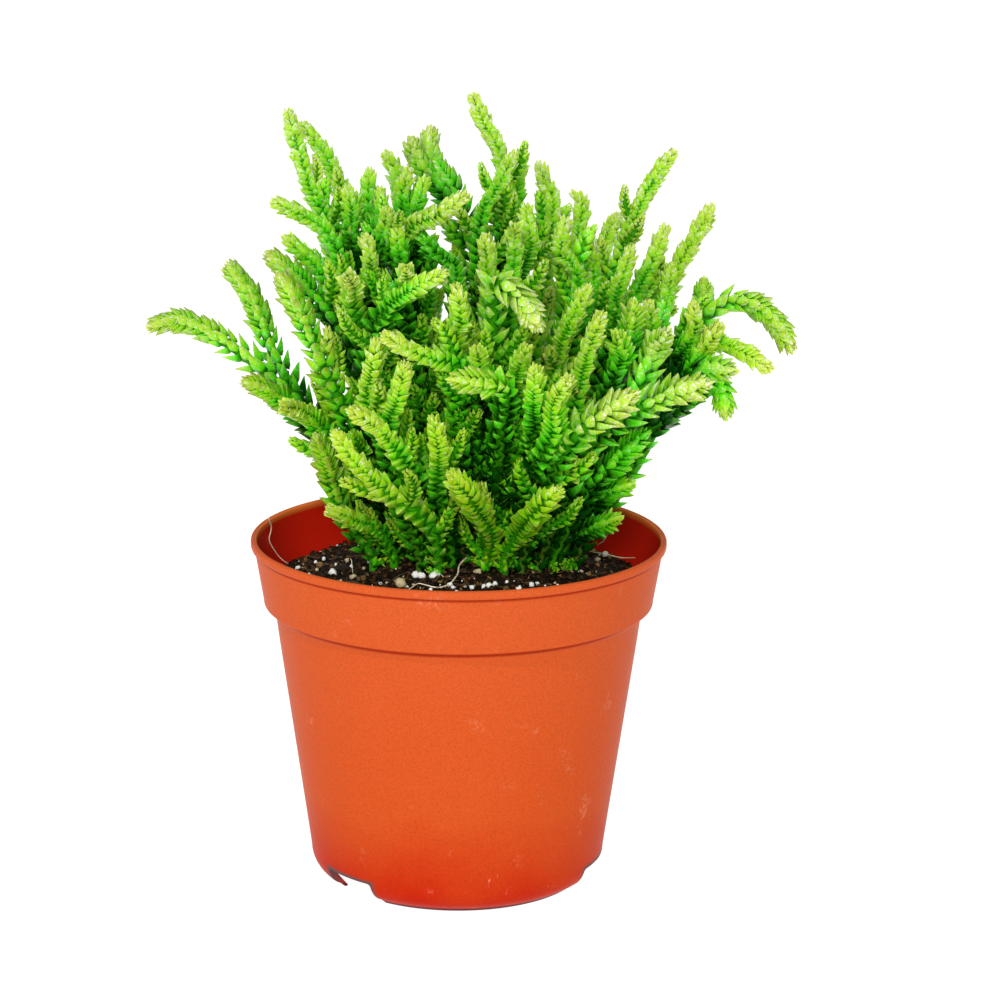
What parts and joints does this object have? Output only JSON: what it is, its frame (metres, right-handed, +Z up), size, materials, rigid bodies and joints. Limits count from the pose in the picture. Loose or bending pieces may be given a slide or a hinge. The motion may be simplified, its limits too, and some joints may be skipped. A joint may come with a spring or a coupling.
{
  "type": "potted crassula",
  "caption": "Dense clump of four-angled, leafy succulent stems in a thin tapered nursery pot of terracotta-coloured plastic, filled with dark potting mix.",
  "frame": {"origin": "centre of the pot's flat underside, on the surface that it stands on", "axes": "+Z up along the pot's axis, -Y towards the front that the picture shows, +X to the right seen from the front"},
  "size_m": [0.1598, 0.1198, 0.1983],
  "materials": {
    "terracotta_plastic": "satin",
    "peat_mix": "matte",
    "succulent_leaf": "satin",
    "pale_root": "matte"
  },
  "bodies": {
    "root": {"pot": "terracotta_plastic", "potting_mix": "peat_mix", "root_thread_front": "pale_root", "stem_back_centre": "succulent_leaf", "stem_back_left": "succulent_leaf", "stem_back_middle": "succulent_leaf", "stem_back_right": "succulent_leaf", "stem_centre_arch": "succulent_leaf", "stem_centre_left": "succulent_leaf", "stem_crown_back": "succulent_leaf", "stem_crown_bright": "succulent_leaf", "stem_crown_fork": "succulent_leaf", "stem_crown_left": "succulent_leaf", "stem_crown_low": "succulent_leaf", "stem_crown_middle": "succulent_leaf", "stem_crown_pair": "succulent_leaf", "stem_front_arch": "succulent_leaf", "stem_front_branch": "succulent_leaf", "stem_front_bright": "succulent_leaf", "stem_front_left": "succulent_leaf", "stem_front_long": "succulent_leaf", "stem_front_low_left": "succulent_leaf", "stem_front_low_right": "succulent_leaf", "stem_front_right": "succulent_leaf", "stem_front_twin": "succulent_leaf", "stem_front_upright": "succulent_leaf", "stem_left_arch": "succulent_leaf", "stem_left_fan": "succulent_leaf", "stem_left_foot": "succulent_leaf", "stem_left_low": "succulent_leaf", "stem_left_ragged": "succulent_leaf", "stem_left_rosette": "succulent_leaf", "stem_left_tall": "succulent_leaf", "stem_left_upper": "succulent_leaf", "stem_middle_braid": "succulent_leaf", "stem_middle_front": "succulent_leaf", "stem_middle_high": "succulent_leaf", "stem_middle_left": "succulent_leaf", "stem_right_arch": "succulent_leaf", "stem_right_fan": "succulent_leaf", "stem_right_foot": "succulent_leaf", "stem_right_front_high": "succulent_leaf", "stem_right_front_long": "succulent_leaf", "stem_right_inner": "succulent_leaf", "stem_right_low": "succulent_leaf", "stem_right_notch": "succulent_leaf", "stem_right_pale": "succulent_leaf", "stem_right_pale_front": "succulent_leaf", "stem_right_side": "succulent_leaf", "stem_right_tall": "succulent_leaf", "stem_right_thick": "succulent_leaf", "stem_right_twin": "succulent_leaf", "stem_right_upper": "succulent_leaf", "stem_rosette_left": "succulent_leaf", "stem_rosette_middle": "succulent_leaf", "stem_top_back": "succulent_leaf", "stem_top_bent": "succulent_leaf", "stem_top_pair": "succulent_leaf", "stem_top_right": "succulent_leaf", "stem_top_tall": "succulent_leaf"}
  },
  "joints": []
}
